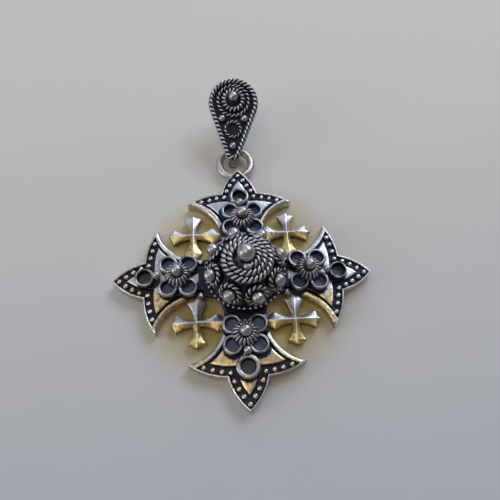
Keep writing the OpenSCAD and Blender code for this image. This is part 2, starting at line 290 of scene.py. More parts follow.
def tube(path, ups, radius, closed=False):
    """A round tube along a path; open ends are drawn in and capped."""
    end_share = 0.55
    radius = np.broadcast_to(radius, len(path)).copy()
    side, up = frames(path, ups, closed)
    if not closed:
        radius[[0, -1]] *= end_share
    turn = 2 * np.pi * np.arange(TUBE_SIDES) / TUBE_SIDES
    ring = np.cos(turn)[None, :, None] * side[:, None] + np.sin(turn)[None, :, None] * up[:, None]
    points = (path[:, None] + radius[:, None, None] * ring).reshape(-1, 3)
    faces = grid_faces(len(path), TUBE_SIDES, wrap_rows=closed)
    if not closed:
        faces.append(tuple(range(TUBE_SIDES))[::-1])
        faces.append(tuple((len(path) - 1) * TUBE_SIDES + k for k in range(TUBE_SIDES)))
    return points, faces


def rope(path, ups, d, lay, closed=False, gilt_and_reflection=0.0):
    """Two wires twisted round a path: bright on the outer crests, dark between the strands as patina and
    painted shade, and dark below as painted shade.
    """
    strand_r = 0.27 * d
    steps = np.linalg.norm(np.diff(path, axis=0), axis=1)
    along = np.append(0, np.cumsum(steps))
    side, up = frames(path, ups, closed)
    shape = Shape()
    for strand in (0, np.pi):
        turn = 2 * np.pi * along / lay + strand
        centre = path + d / 4 * (np.cos(turn)[:, None] * side + np.sin(turn)[:, None] * up)
        points, faces = tube(centre, up, strand_r, closed)
        out = points - np.repeat(path, TUBE_SIDES, 0)
        reach = np.linalg.norm(out, axis=1) / (d / 2)
        height = (out * np.repeat(up, TUBE_SIDES, 0)).sum(1) / (d / 2)
        # Dark between the strands: patina and painted shade; dark on the underside: painted shade
        between = 1 - smooth(reach, 0.78, 1.08)
        below = 1 - smooth(height, -0.25, 0.4)
        shape.add(points, faces, np.maximum(between, below), gilt_and_reflection)
    return shape


def closed_length(path):
    return np.linalg.norm(np.roll(path, -1, 0) - path, axis=1).sum()


def closed_rope(path, d, lays, gilt_and_reflection=0.0):
    """A rope round a closed level path, with a whole number of lays."""
    return rope(path, (0, 0, 1), d, closed_length(path) / lays, closed=True, gilt_and_reflection=gilt_and_reflection)


def circle_path(r, count, z=0.0):
    turn = 2 * np.pi * np.arange(count) / count
    return lifted(r * np.column_stack((np.cos(turn), np.sin(turn))), z)


def ball(r, dent, sides=36, seat=-0.35):
    """A hand-made ball about the origin: dented, and darker below towards its seat as painted shade."""
    rings = sides // 2
    rows = [(r * math.sin(math.pi * i / rings), -r * math.cos(math.pi * i / rings)) for i in range(rings + 1)]
    points, faces = lathe(rows, sides)
    broad = waves(points, 0.7 * r, new_seed())
    fine = waves(points, 0.3 * r, new_seed())
    lumps = broad + 0.5 * fine
    points = points * (1 - dent + dent * lumps / 1.5)[:, None]
    # Painted shade on the underside
    dark = 1 - smooth(points[:, 2] / r, seat - 0.3, seat + 0.3)
    return Shape().add(points, faces, dark).welded()


def moved(x=0.0, y=0.0, z=0.0, turn=0.0):
    """A shift, followed by a turn about Z in degrees."""
    return Matrix.Rotation(math.radians(turn), 4, "Z") @ Matrix.Translation((x, y, z))


# Materials


class Looks:
    """A material whose nodes are being built; its textures lie in the piece's own space."""

    def __init__(self, name):
        self.material = bpy.data.materials.new(name)
        self.material.use_nodes = True
        self.tree = self.material.node_tree
        self.place = self.node("TexCoord", {}).outputs["Object"]

    def feed(self, socket, value):
        """Gives a socket a number, a colour or another node's output."""
        if isinstance(value, bpy.types.NodeSocket):
            self.tree.links.new(value, socket)
        elif isinstance(value, tuple):
            socket.default_value = (*value, 1)
        else:
            socket.default_value = value

    def node(self, kind, inputs, **settings):
        node = self.tree.nodes.new(f"ShaderNode{kind}")
        for key, value in settings.items():
            setattr(node, key, value)
        for key, value in inputs.items():
            self.feed(node.inputs[key], value)
        return node

    def finished(self, inputs):
        """The material, with inputs of its shader."""
        for key, value in inputs.items():
            self.feed(self.tree.nodes["Principled BSDF"].inputs[key], value)
        return self.material

    def blotches(self, per_metre, detail=3.0):
        """Noise with so many lumps a metre."""
        inputs = {"Vector": self.place, "Scale": per_metre, "Detail": detail}
        return self.node("TexNoise", inputs).outputs["Fac"]

    def ranged(self, value, low=0.0, high=1.0, start=0.0, end=1.0, ease="LINEAR"):
        """The value with start to end stretched to low to high, and clamped."""
        inputs = {"Value": value, "From Min": start, "From Max": end, "To Min": low, "To Max": high}
        return self.node("MapRange", inputs, interpolation_type=ease).outputs["Result"]

    def added(self, base, value, times):
        """The base plus so many times the value."""
        return self.node("Math", {0: value, 1: times, 2: base}, operation="MULTIPLY_ADD").outputs[0]

    def masked(self, attribute, texture, amount, low, high):
        """The attribute, made ragged by a texture, as a mask from 0 to 1."""
        read = self.node("Attribute", {}, attribute_name=attribute).outputs["Fac"]
        ragged = self.added(read, texture, amount)
        return self.ranged(ragged, start=low + amount / 2, end=high + amount / 2, ease="SMOOTHSTEP")

    def mixed(self, mask, first, second, blend="MIX"):
        """The first colour where the mask is 0, and the second blended over it where it is 1."""
        node = self.node("Mix", {}, data_type="RGBA", blend_type=blend)
        self.feed(node.inputs["Factor"], mask)
        colours = [socket for socket in node.inputs if socket.type == "RGBA"]
        for socket, colour in zip(colours, (first, second)):
            self.feed(socket, colour)
        return next(socket for socket in node.outputs if socket.type == "RGBA")


SILVER = (0.78, 0.78, 0.79)
BALL_SILVER = (0.56, 0.545, 0.56)
WIRE_SILVER = (0.60, 0.585, 0.61)
CUP_SILVER = (0.56, 0.54, 0.54)
SHEET_SILVER = (0.45, 0.43, 0.41)
LOOP_SILVER = (0.72, 0.72, 0.73)
DOME_SILVER = (0.042, 0.046, 0.062)
GOLD = (0.88, 0.68, 0.32)
PALE_GOLD = (0.86, 0.71, 0.43)
TARNISH = (0.40, 0.31, 0.22)
BLACK = (0.03, 0.036, 0.06)
BLUE_BLACK = (0.10, 0.13, 0.22)
GREY_BLACK = (0.07, 0.075, 0.09)
BROWN = (0.20, 0.145, 0.07)


def darker(colour, share):
    return tuple(share * c for c in colour)


def metal(name, silver, gold, dark, rough, grain, pits=0.0):
    """Worn metal: gilt and dark where the mesh says so, with a cast or rubbed skin; the dark is patina and
    painted shade, the gold is gilding and in places a painted warm reflection.

    Grain is how strong its bumps are, and pits how large its pits are against their distances.
    """
    looks = Looks(name)
    broad, middle, fine = looks.blotches(450), looks.blotches(1800), looks.blotches(9000)
    stains = looks.ranged(looks.blotches(900, detail=6), high=0.5, start=0.48, end=0.68)
    bare = looks.mixed(stains, looks.mixed(middle, silver, darker(silver, 0.62)), TARNISH)
    rubbed = looks.mixed(looks.ranged(middle, start=0.35, end=0.65), gold, darker(gold, 0.55))
    # Gold where the mesh says so: gilding, and in places a painted warm reflection
    gilt_and_reflection_share = looks.masked("gilt_and_reflection", broad, amount=0.7, low=0.3, high=0.6)
    # Dark where the mesh says so: patina in hollows, and painted shade under and beside things
    patina_and_shade_share = looks.masked("patina_and_shade", middle, amount=0.35, low=0.3, high=0.75)
    colour = looks.mixed(patina_and_shade_share, looks.mixed(gilt_and_reflection_share, bare, rubbed), dark)
    if pits:
        cells = looks.node("TexVoronoi", {"Vector": looks.place, "Scale": 1500})
        spots = looks.ranged(cells.outputs["Distance"], start=pits, end=0.6 * pits)
        colour = looks.mixed(spots, colour, dark)
    height = looks.added(middle, fine, times=0.4)
    bumps = looks.node("Bump", {"Strength": grain, "Distance": 0.03 * MM, "Height": height})
    skin = looks.ranged(middle, rough - 0.08, rough + 0.12)
    return looks.finished({
        "Metallic": 1.0,
        "Base Color": colour,
        "Roughness": looks.added(skin, patina_and_shade_share, times=0.15),
        "Normal": bumps.outputs["Normal"],
    })


def floor_material():
    """Pale and plain: warmer to the north, cooler to the south, and painted golden near the pendant as a glow
    of light thrown by the gilt metal.
    """
    cool, warm, golden = (0.50, 0.505, 0.54), (0.67, 0.62, 0.57), (0.84, 0.69, 0.30)
    looks = Looks("pale_floor")
    y = looks.node("SeparateXYZ", {0: looks.place}).outputs["Y"]
    northing = looks.ranged(y, start=-30 * MM, end=40 * MM)
    mottled = looks.added(northing, looks.blotches(60, detail=2.0), times=0.2)
    distance = looks.node("VectorMath", {0: looks.place}, operation="LENGTH").outputs["Value"]
    # Painted golden glow of light near the pendant
    nearness = looks.ranged(distance, start=19 * MM, end=9 * MM, ease="SMOOTHSTEP")
    colour = looks.mixed(nearness, looks.mixed(mottled, cool, warm), golden, blend="MULTIPLY")
    return looks.finished({"Base Color": colour, "Roughness": 0.9, "Specular IOR Level": 0.1})


def add_piece(name, shape, material, body, slot, *stands_for):
    """Makes a mesh object in metres that rides on a body and stands for CAD nodes."""
    mesh = bpy.data.meshes.new(name)
    mesh.from_pydata((shape.points * MM).tolist(), [], shape.faces)
    for key, values in (("patina_and_shade", shape.patina_and_shade), ("gilt_and_reflection", shape.gilt_and_reflection)):
        mesh.attributes.new(key, "FLOAT", "POINT").data.foreach_set("value", values)
    mesh.materials.append(material)
    mesh.update()
    mesh.shade_smooth()
    piece = bpy.data.objects.new(name, mesh)
    bpy.context.scene.collection.objects.link(piece)
    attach(piece, body)
    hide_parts(*stands_for)


# Cross plate


def arc(p, q, rise, steps):
    """Points on an arc from p to q that rises to the left of the way there, its centre and its radius."""
    p, q = np.array(p, float), np.array(q, float)
    chord = np.linalg.norm(q - p)
    r = (chord**2 / 4 + rise**2) / (2 * abs(rise))
    left = np.array((p[1] - q[1], q[0] - p[0])) / chord
    centre = (p + q) / 2 - math.copysign(r - abs(rise), rise) * left
    start = math.atan2(p[1] - centre[1], p[0] - centre[0])
    sweep = -math.copysign(2 * math.asin(chord / 2 / r), rise)
    turn = start + sweep * np.linspace(0, 1, steps + 1)
    return centre + r * np.column_stack((np.cos(turn), np.sin(turn))), centre, r


side_centre_off = SIDE_CENTRE[0] - SIDE_CENTRE[1]
INNER_CORNER = np.full(2, (SIDE_CENTRE.sum() - math.sqrt(2 * SIDE_R**2 - side_centre_off**2)) / 2)
side_rise = SIDE_R - math.sqrt(SIDE_R**2 - (math.dist(CORNER, INNER_CORNER) / 2) ** 2)
side_line, _, _ = arc(INNER_CORNER, CORNER, side_rise, steps=96)
corner_line, CORNER_ARC_CENTRE, CORNER_ARC_R = arc(CORNER, NOTCH, -CORNER_SWELL, steps=48)
tip_line, TIP_ARC_CENTRE, TIP_ARC_R = arc(NOTCH, TIP, -TIP_SWELL, steps=48)
half_outline = np.vstack((side_line, corner_line[1:], tip_line[1:]))


def from_sides(p):
    """Distance of points of the half arm from its concave side."""
    return np.linalg.norm(p - SIDE_CENTRE, axis=1) - SIDE_R


def from_end(p):
    """Distance of points of the half arm from its zigzag end."""
    to_corner = CORNER_ARC_R - np.linalg.norm(p - CORNER_ARC_CENTRE, axis=1)
    to_tip = TIP_ARC_R - np.linalg.norm(p - TIP_ARC_CENTRE, axis=1)
    return np.maximum(to_corner, to_tip)


def clear_of_edges(p, margin):
    return (from_sides(p) > margin) & (from_end(p) > margin)


def step_up(value, at):
    return smooth(value, at - STEP_W / 2, at + STEP_W / 2)


def panel_share(p):
    return step_up(from_end(p), BORDER_W) * step_up(from_sides(p), SIDE_RIM + SIDE_GROOVE)


def sunk_share(p):
    """1 on the floor of the sunk border and grooves, 0 on rims and panels."""
    inside = step_up(from_end(p), EDGE_RIM) * step_up(from_sides(p), SIDE_RIM)
    return inside * step_up(p[:, 1], BORDER_START) * (1 - panel_share(p))


def plate_height(p):
    """Top of the plate at points of the half arm."""
    side, end = from_sides(p), from_end(p)
    rounding = EDGE_ROUND * (1 - np.clip(np.minimum(side, end) / EDGE_ROUND, 0, 1)) ** 2
    in_arm = step_up(p[:, 1], BORDER_START)
    outer_fall = RIM_OUTER_FALL * np.clip(1 - side / RIM_CREST, 0, 1) ** 1.6
    inner_fall = RIM_INNER_FALL * np.clip((side - RIM_CREST) / (SIDE_RIM - RIM_CREST), 0, 1) ** 2
    fall = (outer_fall + inner_fall) * (side < SIDE_RIM) * smooth(end, EDGE_ROUND, 0.5)
    panel_edge = np.minimum(end - BORDER_W, side - SIDE_RIM - SIDE_GROOVE)
    cushion = CUSHION_H * (1 - np.clip(panel_edge / CUSHION_W, 0, 1)) ** 2 * panel_share(p) * in_arm
    return PLATE_T - SINK * sunk_share(p) - np.maximum(rounding, fall) - cushion


def near_cups(p):
    """1 against the feet of the cups and the tip ring and round the dome, 0 away from them: the plate is
    darker there.
    """
    flower_y, _, ring_y, ring_d, _ = np.mean(list(ARM_PLACES.values()), axis=0)
    dome_dark_w, dark_w = 0.8, 0.28
    away = np.linalg.norm(p, axis=1) - BEADED_R - dome_dark_w
    for y in (flower_y - CUP_Y, flower_y + CUP_Y):
        away = np.minimum(away, np.hypot(p[:, 0] - CUP_X, p[:, 1] - y) - CUP_D / 2)
    away = np.minimum(away, np.hypot(p[:, 0], p[:, 1] - ring_y) - ring_d / 2)
    return 1 - smooth(away, GAP, dark_w)


def relief_points():
    """Points of the half arm, dense along the steps of the relief and sparse elsewhere."""
    line_step, grid_x, grid_y, row_shift, least_distance = 0.12, 0.27, 0.25, 0.13, 0.028
    on_step = (-0.045, -0.015, 0.015, 0.05)
    panel = SIDE_RIM + SIDE_GROOVE
    edge_insets = [0.03, 0.07, 0.12, 0.18, *(EDGE_RIM + b for b in on_step)]
    edge_insets += [*(BORDER_W + b for b in on_step), BORDER_W + 0.12, BORDER_W + 0.24]
    side_insets = [0.03, 0.08, 0.15, 0.25, 0.36, 0.46, 0.56, 0.65, *(SIDE_RIM + b for b in on_step)]
    side_insets += [SIDE_RIM + SIDE_GROOVE / 2, *(panel + b for b in on_step), panel + 0.13, panel + 0.28]
    found = []
    for centre, r, sign, insets in (
        (CORNER_ARC_CENTRE, CORNER_ARC_R, -1, edge_insets),
        (TIP_ARC_CENTRE, TIP_ARC_R, -1, edge_insets),
        (SIDE_CENTRE, SIDE_R, 1, side_insets),
    ):
        for inset in insets:
            line_r = r + sign * inset
            turn = np.arange(0, 2 * np.pi, line_step / line_r)
            p = centre + line_r * np.column_stack((np.cos(turn), np.sin(turn)))
            keep = clear_of_edges(p, 0.02) & (p[:, 0] > 0.04) & (p[:, 1] - p[:, 0] > 0.05)
            if sign < 0:
                keep &= np.abs(from_end(p) - inset) < 1e-6
            found.append(p[keep])
    p = grid_points(np.arange(0.12, SIDE_CENTRE[0], grid_x), np.arange(0.2, TIP_REACH, grid_y))
    p[:, 0] += row_shift * (np.round(p[:, 1] / grid_y) % 2)
    found.append(p[clear_of_edges(p, 0.15) & (p[:, 1] - p[:, 0] > 0.12)])
    points = np.vstack(found)
    _, first = np.unique(np.round(points / least_distance).astype(int), axis=0, return_index=True)
    return points[np.sort(first)]


def filled(outline, inner):
    """Triangles that fill a closed outline and use the inner points."""
    every = [Vector(p) for p in np.vstack((outline, inner))]
    whole, inside_only, finest = [list(range(len(outline)))], 1, 1e-6
    points, _, faces = delaunay_2d_cdt(every, [], whole, inside_only, finest)[:3]
    return np.array([tuple(p) for p in points]), [tuple(face) for face in faces]


def eightfold(flat, faces, height, patina_and_shade):
    """A half arm's top, mirrored and turned into the whole cross."""
    shape = Shape()
    for turn in QUARTERS:
        for side in (1, -1):
            points = np.column_stack((side * flat[:, 0], flat[:, 1], height))
            order = faces if side > 0 else flipped(faces)
            shape.add(turned(points, turn), order, patina_and_shade)
    return shape


def whole_outline(half):
    """The closed outline of a cross, from the half outline of its north arm."""
    arm = np.vstack((half, (half * (-1, 1))[::-1][1:-1]))
    return np.vstack([turned(arm, turn) for turn in QUARTERS])


def walled(shape, outline, top, levels, patina_and_shade, gilt_and_reflection=0.0):
    """Adds a wall below an outline, through (height, inset) levels, and a flat back; both are darkened as
    painted shade.
    """
    back_step, back_margin, painted_back_shade = 1.5, 0.8, 0.15
    way = np.roll(outline, -1, 0) - np.roll(outline, 1, 0)
    inward = np.column_stack((-way[:, 1], way[:, 0])) / np.linalg.norm(way, axis=1)[:, None]
    rows = [lifted(outline, top), *(lifted(outline + inset * inward, z) for z, inset in levels)]
    # The wall and the back below are darker: painted shade
    shape.add(np.vstack(rows), flipped(grid_faces(len(rows), len(outline))), patina_and_shade, gilt_and_reflection)
    half_w = TIP_REACH - 0.5
    spread = np.arange(-half_w, half_w + 0.1, back_step)
    inner = grid_points(spread, spread)
    away = np.abs(inner[:, None] - rows[-1][None, :, :2]).sum(2).min(1)
    flat, back = filled(rows[-1][:, :2], inner[away > back_margin])
    return shape.add(lifted(flat, levels[-1][0]), flipped(back), painted_back_shade, gilt_and_reflection)


def cross_plate():
    """The cast cross with its relief, and the granules in its borders."""
    seam_step = 0.2
    seam_y = np.arange(TIP_REACH - seam_step, 0.1, -seam_step)
    seam_xy = np.arange(0.0, INNER_CORNER[0] - 0.1, seam_step)
    seam = np.column_stack((np.zeros(len(seam_y)), seam_y))
    diagonal = np.column_stack((seam_xy, seam_xy))
    flat, faces = filled(np.vstack((half_outline, seam, diagonal)), relief_points())
    patina_and_shade = np.maximum(1.1 * sunk_share(flat), near_cups(flat))
    shape = eightfold(flat, faces, plate_height(flat), patina_and_shade)
    edge = plate_height(half_outline)
    arm_edge = np.append(edge, edge[::-1][1:-1])
    wall = ((1.5, 0.0), (0.9, 0.0), (0.3, 0.0), (0.06, 0.03), (0.0, 0.09))
    # The plate's wall is darkened a little: painted shade
    walled(shape, whole_outline(half_outline), np.tile(arm_edge, len(QUARTERS)), wall, patina_and_shade=0.25)
    shape = shape.welded()
    shape.gilt_and_reflection = plate_gilt(shape.points)
    tarnish = 0.38 * low_on_sides(shape.points)
    shape.patina_and_shade = np.maximum(shape.patina_and_shade, tarnish)
    lumps = 0.016 * waves(shape.points, 1.3) + 0.007 * waves(shape.points, 0.35, 5)
    on_front = shape.points[:, 2] > 0.5
    shape.points[:, 2] += lumps * on_front
    for turn in QUARTERS:
        for grain in granules():
            grain = grain.placed(moved(turn=turn))
            x, y = grain.points[:, :2].mean(0)
            less_to_north_east = np.clip(0.32 - 0.018 * x - 0.018 * y, 0.1, 0.6)
            grain.gilt_and_reflection[:] = less_to_north_east * rng.uniform(0.7, 1.1)
            shape.join(grain)
    return shape


def low_on_sides(points):
    """1 on the lower halves of the east and west arms, 0 elsewhere."""
    return smooth(np.abs(points[:, 0]), 4.5, 7) * smooth(-points[:, 1], 1.2, 3)


def plate_gilt(points):
    """Where gilding is left: low on the east and west arms, on the south panel and the north rims."""
    everywhere, on_west, on_east, on_south, on_north = 0.08, 0.8, 0.55, 0.42, 0.35
    x, y = points[:, 0], points[:, 1]
    half_arm = np.sort(np.abs(points[:, :2]), axis=1)
    inside = smooth(from_end(half_arm), EDGE_RIM, 2 * EDGE_RIM)
    on_rim = 1 - smooth(from_sides(half_arm), 0.6 * SIDE_RIM, SIDE_RIM)
    sides = np.where(x < 0, on_west, on_east) * inside * low_on_sides(points)
    south = on_south * inside * (1 - on_rim) * smooth(-y, 6, 8) * (1 - smooth(np.abs(x), 6, 8))
    north = on_north * on_rim * smooth(y, 6, 9) * (1 - smooth(np.abs(x), 8, 9))
    return everywhere + sides + south + north


def granules():
    """The row of granules in one arm's border, each a little different."""
    first, turning, last = (0, TIP_REACH - 1.05), (2.32, 13.85), np.array((5.95, 13.05))
    swell, rise, flattened, jitter = 0.22, 0.06, 0.1, 0.035
    row = list(arc(first, turning, swell, 4)[0])
    row += [row[4] + (last - row[4]) * i / 3 + (0, rise * (i < 3)) for i in (1, 2, 3)]
    places = row + [p * (-1, 1) for p in row[1:]]
    grains = []
    for x, y in places:
        d = GRANULE_D * rng.uniform(1.0, 1.1)
        grain = ball(d / 2, dent=0.05, sides=18, seat=-0.4)
        top = 0.4 * d
        height = grain.points[:, 2]
        grain.points[:, 2] = np.minimum(height, top - flattened * (top - height))
        shift_x, shift_y = rng.uniform(-jitter, jitter, 2)
        grains.append(grain.placed(moved(x + shift_x, y + shift_y, PLATE_T - SINK + 0.3 * GRANULE_D)))
    return grains


def crosslet_half_arm(reach):
    """Rows of points over the east half of a crosslet's north arm, and how many come before its waist."""
    middle_rows = np.linspace(0, CROSSLET_WAIST, 4)[:-1]
    arm_rows = np.linspace(CROSSLET_WAIST, CROSSLET_SHOULDER, 28)
    point_rows = np.linspace(CROSSLET_SHOULDER, reach, 10)[1:]
    shares = np.array((0, 0.04, 0.1, 0.2, 0.35, 0.5, 0.65, 0.78, 0.87, 0.93, 0.97, 1))
    ridge_round, end_fall, edge_fall, edge_w, least_half = 0.1, 0.16, 0.1, 0.12, 0.02
    rows = []
    for y in np.concatenate((middle_rows, arm_rows, point_rows)):
        along = max(0, y - CROSSLET_WAIST)
        flare = (along / (CROSSLET_SHOULDER - CROSSLET_WAIST)) ** 2
        half = CROSSLET_WAIST + (CROSSLET_FOOT - CROSSLET_WAIST) * flare
        if y > CROSSLET_SHOULDER:
            half = CROSSLET_FOOT * (reach - y) / (reach - CROSSLET_SHOULDER)
        x = shares * min(y, half)
        slope = 1 - np.sqrt((x / max(half, least_half)) ** 2 + ridge_round**2)
        fall = end_fall * (along / (reach - CROSSLET_WAIST)) ** 2
        z = CROSSLET_EDGE_H + (CROSSLET_RIDGE_H - CROSSLET_EDGE_H) * slope - fall
        away = np.minimum(half - x, reach - y)
        z = z - edge_fall * (1 - np.clip(away / edge_w, 0, 1)) ** 2
        rows.append(np.column_stack((x, np.full(len(x), y), z)))
    return rows, len(middle_rows)


def crosslet(north, east):
    """One crosslet about the origin: ridged arms with V-shaped ends, gilt, with more gold south of its ridge
    as gilding and a painted warm reflection, and walls darkened as painted shade.

    The arms that point away from the plate, by the signs of its corner, are the shorter ones.
    """
    shape = Shape()
    outline = []
    for turn, outer in ((0, north > 0), (90, east < 0), (180, north < 0), (270, east > 0)):
        rows, middle_rows = crosslet_half_arm(CROSSLET_REACH if outer else CROSSLET_ROOT_REACH)
        faces = grid_faces(len(rows), len(rows[0]), wrap_columns=False)
        for side in (1, -1):
            points = np.vstack(rows) * (side, 1, 1)
            order = flipped(faces) if side > 0 else faces
            shape.add(turned(points, turn), order)
        edge = np.array([row[-1] for row in rows[middle_rows:]])
        outline.append(turned(np.vstack((edge, (edge * (-1, 1, 1))[::-1][1:-1])), turn))
    outline = np.vstack(outline)
    wall = ((0.6, -0.01), (0.1, 0.02), (0.0, 0.09))
    # The crosslet's wall is gilt, and darkened as painted shade
    shape = walled(shape, outline[:, :2], outline[:, 2], wall, patina_and_shade=0.75, gilt_and_reflection=0.9).welded()
    # More gold on the south slopes: gilding, and a painted warm reflection
    wall_gilt, north_gilt, more_to_south = 0.75, 0.2, 0.55
    on_top = smooth(shape.points[:, 2], 0.6, 0.75)
    south = smooth(-shape.points[:, 1], 0.0, 0.35)
    shape.gilt_and_reflection = wall_gilt + on_top * (north_gilt + more_to_south * south - wall_gilt)
    reach = np.abs(shape.points[:, :2]).max(1)
    tarnish = 0.42 * smooth(reach, CROSSLET_SHOULDER - 0.4, CROSSLET_REACH)
    shape.patina_and_shade = np.maximum(shape.patina_and_shade, tarnish)
    seed = new_seed()
    shape.points[:, 2] += 0.03 * waves(shape.points, 1.1, seed) * on_top
    for axis, seed_step in ((0, 7), (1, 13)):
        shape.points[:, axis] += 0.04 * waves(shape.points, 1.6, seed + seed_step)
    return shape


def ended_on_plate(shape, north, east):
    """What would run into the plate is drawn back to the concave sides of its arms."""
    for centre in (SIDE_CENTRE, SIDE_CENTRE[::-1]):
        away = shape.points[:, :2] - centre * (east, north)
        share = np.minimum(1, SIDE_R / np.linalg.norm(away, axis=1))
        shape.points[:, :2] -= away * (1 - share)[:, None]
    return shape


# Flowers and rings on the arms


def round_wall(outer, bore, height, lip_h):
    """Profile of a tube wall with a worn round lip, closed on itself."""
    half = (outer - bore) / 2
    turns = np.linspace(0, math.pi, 9)
    lip = [(bore + half + half * math.cos(a), height - lip_h + lip_h * math.sin(a)) for a in turns]
    outside = [(bore - 0.06, 0.0), (outer, 0.0), (outer - 0.03, 0.3 * height)]
    inside = [(bore + 0.02, 0.5 * height), (bore - 0.06, 0.12), (bore - 0.06, 0.0)]
    return [*outside, *lip, *inside]


def cup(d, bore_d, height, lip_h):
    """An open cup with a dark inside, darker low down as painted shade, and a bright lip."""
    sides, lump, dent = 40, 0.03, 0.012
    bore = bore_d / 2
    points, faces = lathe(round_wall(d / 2, bore, height, lip_h), sides)
    points[:, 2] += lump * waves(points, 1.1, new_seed()) * (points[:, 2] > 0.5)
    points[:, :2] *= 1 - dent + dent * waves(points, 1.5, new_seed())[:, None]
    r = np.hypot(points[:, 0], points[:, 1])
    # Darker low down: painted shade; dark inside and in patches: patina
    low = 1 - smooth(points[:, 2], 0.45 * height, 0.9 * height)
    inside = 1 - smooth(r, bore - 0.02, bore + 0.1)
    patches = 0.4 + 0.5 * waves(points, 1.0, new_seed())
    shape = Shape().add(points, faces, np.maximum.reduce((0.75 * low, inside, patches)), 0.3)
    points, faces = lathe([(bore + 0.02, 0.14), (0.5 * bore, 0.1), (AXIS_R, 0.12)], sides)
    return shape.add(points, faces, 0.95)


def flower_cups():
    """Four cups round a dark post, which carries the rib dome."""
    shape = Shape()
    for x in (-CUP_X, CUP_X):
        for y in (-CUP_Y, CUP_Y):
            shape.join(cup(CUP_D, CUP_BORE, CUP_H, CUP_LIP_H).placed(moved(x, y, CUP_Z)))
    post_r, foot_h, rim_h = 0.5, 0.35, 0.3
    post = [(CUP_X, 0.0), (CUP_X, rim_h), (post_r, foot_h), (post_r, CUP_H), (AXIS_R, CUP_H)]
    points, faces = lathe(post, 32)
    return shape.add(points + (0, 0, CUP_Z), faces, 1.0)


def rib_dome():
    """Bent wires set like petals round a dark core, curled in at the brim under the ball."""
    rise = ((1.94, 0.0), (1.93, 0.2), (1.86, 0.45), (1.7, 0.7))
    brim = ((1.47, 0.92), (1.2, 1.07), (0.95, 1.12), (0.74, 1.0))
    outer = np.array(rise + brim)
    thick = np.array((0.2, 0.21, 0.21, 0.205, 0.185, 0.15, 0.115, 0.09))
    out = np.gradient(outer, axis=0)
    out = np.column_stack((out[:, 1], -out[:, 0])) / np.linalg.norm(out, axis=1)[:, None]
    middle = outer - out * thick[:, None]
    path = np.column_stack((middle[:, 0], np.zeros(len(middle)), middle[:, 1]))
    up = np.column_stack((out[:, 0], np.zeros(len(out)), out[:, 1]))
    points, faces = tube(path, up, thick)
    off = points - np.repeat(path, TUBE_SIDES, 0)
    reach = (off * np.repeat(up, TUBE_SIDES, 0)).sum(1) / np.repeat(thick, TUBE_SIDES)
    # Each rib is darker on its side towards the core: painted shade
    patina_and_shade = 1 - smooth(reach, -0.6, 0.2)
    most_tilt = 2
    shape = Shape()
    for i in range(RIB_COUNT):
        tilt = rng.uniform(-most_tilt, most_tilt)
        shape.add(turned(points, 360 * i / RIB_COUNT + tilt), faces, patina_and_shade, 0.15)
    core = [(1.66, 0.0), (1.62, 0.3), (1.42, 0.65), (1.15, 0.85), (0.75, 0.75), (AXIS_R, 0.64)]
    points, faces = lathe(core, 24)
    shape.add(points, faces, 1.0)
    return shape.placed(moved(z=RIB_DOME_Z))


# Middle dome


def beaded_wire():
    """Single beads on a fine dark wire round the dish."""
    jitter = 0.06
    points, faces = tube(circle_path(BEADED_R, 96, DISH_Z), (0, 0, 1), BEAD_WIRE_R, closed=True)
    shape = Shape().add(points, faces, 0.9)
    for i in range(BEAD_COUNT):
        bead = ball(BEAD_R * rng.uniform(0.95, 1.0), dent=0.02, sides=14, seat=-0.5)
        turn = 360 * (i + rng.uniform(-jitter, jitter)) / BEAD_COUNT
        shape.join(bead.placed(moved(turn=turn) @ moved(x=BEADED_R, z=DISH_Z)))
    return shape


def on_dome(z=0.0):
    return moved(DOME_X, DOME_Y, z)


def square_to(slope):
    """Direction out of the cone's side, for a way up it as (radius, height)."""
    return np.array((slope[1], -slope[0])) / np.linalg.norm(slope)


def on_petal(number, off):
    """Place of a petal: its Z stands out of the cone's side."""
    slope = CONE_WAIST - CONE_FOOT
    out = square_to(slope)
    lean = math.atan2(-slope[0], slope[1])
    middle = (CONE_FOOT + CONE_WAIST) / 2 + off * out
    turn = PETAL_TURN + 360 / PETALS * (number - 1)
    foot = on_dome() @ moved(turn=turn) @ moved(x=middle[0], z=middle[1])
    return foot @ Matrix.Rotation(math.pi / 2 - lean, 4, "Y")


def wire_ring(d, wire_d, lays):
    """A ring of twisted wire with an outer diameter."""
    return closed_rope(circle_path((d - wire_d) / 2, LAY_STEPS * lays), wire_d, lays)


def rope_coil():
    """Twisted wire wound in from the cone's waist to the crown ball, with a melted end."""
    slope = CONE_TOP - CONE_WAIST
    out = square_to(slope)
    outer = CONE_WAIST + (COIL_ROPE_D / 2 + GAP) * out
    pitch = COIL_ROPE_D * -slope[0] / np.linalg.norm(slope)
    length = math.pi * (outer[0] ** 2 - COIL_INNER_R**2) / pitch
    count = int(length / ROPE_LAY * LAY_STEPS)
    r = np.sqrt(outer[0] ** 2 - pitch / math.pi * length * np.arange(count + 1) / count)
    turn = np.radians(270 + 360 * (r - COIL_INNER_R) / pitch)
    z = outer[1] + (outer[0] - r) * slope[1] / -slope[0]
    path = np.column_stack((r * np.cos(turn), r * np.sin(turn), z))
    up = np.column_stack((out[0] * np.cos(turn), out[0] * np.sin(turn), np.full(len(r), out[1])))
    shape = rope(path, up, COIL_ROPE_D, ROPE_LAY)
    end_r, end_scale, end_shift = 0.46, (1.15, 1.1, 0.85), (0.05, -0.02, 0.08)
    end = ball(end_r, dent=0.05, sides=20, seat=-0.6)
    end.points *= end_scale
    return shape.join(end.placed(moved(*(path[-1] + end_shift))))


# Loop and bail


